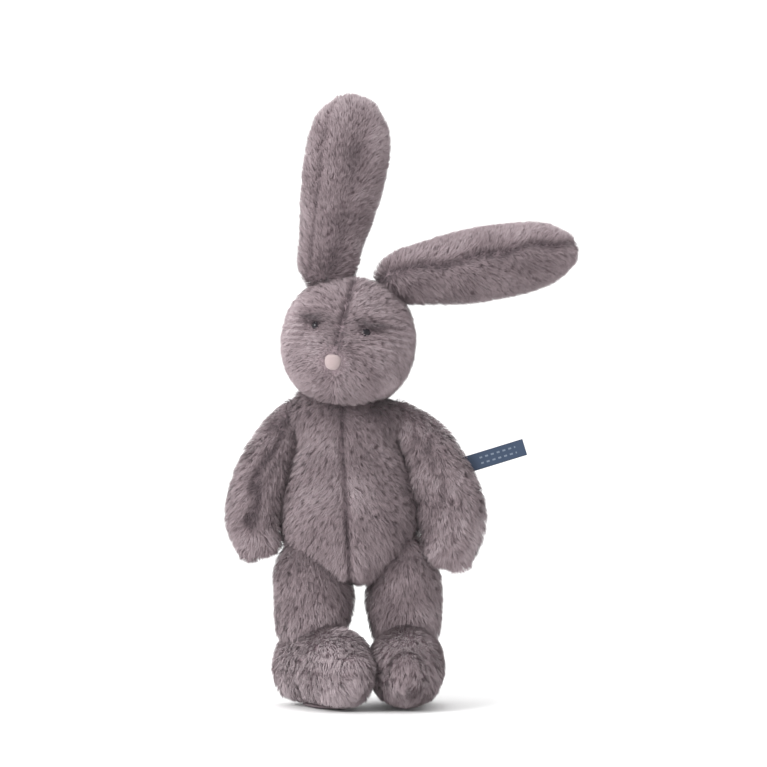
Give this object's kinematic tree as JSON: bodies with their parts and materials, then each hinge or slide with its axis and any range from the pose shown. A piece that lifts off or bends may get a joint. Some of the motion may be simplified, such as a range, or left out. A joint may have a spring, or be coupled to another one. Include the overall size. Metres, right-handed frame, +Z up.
{
  "type": "stuffed rabbit",
  "caption": "Standing long-pile stuffed rabbit with one ear up and one out to the side, dark dome eyes, a pale nose and a ribbon tab on one arm.",
  "frame": {"origin": "on the floor, under the middle of the whole toy's box", "axes": "+Z up, the rabbit faces -Y, its own left is +X"},
  "size_m": [0.2092, 0.1132, 0.3677],
  "materials": {
    "pile_cloth": "matte",
    "sole_cloth": "matte",
    "stuffing": "matte",
    "pellets": "matte",
    "eye": "gloss",
    "washer": "matte",
    "nose": "matte",
    "ribbon": "satin"
  },
  "bodies": {
    "torso": {"torso_front_left_panel": "pile_cloth", "torso_front_right_panel": "pile_cloth", "torso_back_left_panel": "pile_cloth", "torso_back_right_panel": "pile_cloth", "torso_stuffing": "stuffing", "pellet_bag": "pellets"},
    "head": {"face_left_panel": "pile_cloth", "face_right_panel": "pile_cloth", "head_back_panel": "pile_cloth", "head_stuffing": "stuffing", "eye_left": "eye", "eye_right": "eye", "eye_washer_left": "washer", "eye_washer_right": "washer", "nose": "nose"},
    "ear_left": {"ear_left_front_panel": "pile_cloth", "ear_left_back_panel": "pile_cloth", "ear_left_filling": "stuffing"},
    "arm_left": {"arm_left_outer_panel": "pile_cloth", "arm_left_inner_panel": "pile_cloth", "arm_left_stuffing": "stuffing"},
    "leg_left": {"shin_left_outer_panel": "pile_cloth", "shin_left_inner_panel": "pile_cloth", "foot_left_outer_panel": "pile_cloth", "foot_left_inner_panel": "pile_cloth", "foot_left_sole": "sole_cloth", "shin_left_stuffing": "stuffing", "foot_left_stuffing": "stuffing"},
    "ear_right": {"ear_right_front_panel": "pile_cloth", "ear_right_back_panel": "pile_cloth", "ear_right_filling": "stuffing"},
    "arm_right": {"arm_right_outer_panel": "pile_cloth", "arm_right_inner_panel": "pile_cloth", "arm_right_stuffing": "stuffing"},
    "leg_right": {"shin_right_outer_panel": "pile_cloth", "shin_right_inner_panel": "pile_cloth", "foot_right_outer_panel": "pile_cloth", "foot_right_inner_panel": "pile_cloth", "foot_right_sole": "sole_cloth", "shin_right_stuffing": "stuffing", "foot_right_stuffing": "stuffing"},
    "tab": {"ribbon_tab": "ribbon"}
  },
  "joints": [
    {"name": "head_turn", "type": "hinge", "parent": "torso", "child": "head", "pos_m": [-0.0347, -0.0068, 0.1824], "axis": [0, 0, 1], "range_deg": [-30, 30]},
    {"name": "ear_right_flop", "type": "hinge", "parent": "head", "child": "ear_right", "pos_m": [-0.0457, -0.0018, 0.2663], "axis": [0, -1, 0], "range_deg": [-8, 60]},
    {"name": "ear_left_flop", "type": "hinge", "parent": "head", "child": "ear_left", "pos_m": [0.0028, -0.0028, 0.2569], "axis": [0, -1, 0], "range_deg": [-30, 40]},
    {"name": "arm_right_lift", "type": "hinge", "parent": "torso", "child": "arm_right", "pos_m": [-0.0685, -0.0078, 0.1715], "axis": [0, 1, 0], "range_deg": [0, 75]},
    {"name": "arm_left_lift", "type": "hinge", "parent": "torso", "child": "arm_left", "pos_m": [-0.0011, -0.0078, 0.1715], "axis": [0, -1, 0], "range_deg": [0, 75]},
    {"name": "leg_right_fold", "type": "hinge", "parent": "torso", "child": "leg_right", "pos_m": [-0.0557, -0.0098, 0.062], "axis": [-1, 0, 0], "range_deg": [-10, 55]},
    {"name": "leg_left_fold", "type": "hinge", "parent": "torso", "child": "leg_left", "pos_m": [0.0013, -0.0018, 0.062], "axis": [-1, 0, 0], "range_deg": [-10, 55]},
    {"name": "tab_flap", "type": "hinge", "parent": "arm_left", "child": "tab", "pos_m": [0.0399, -0.0098, 0.1446], "axis": [-0.2924, 0, 0.9563], "range_deg": [-40, 40]}
  ]
}
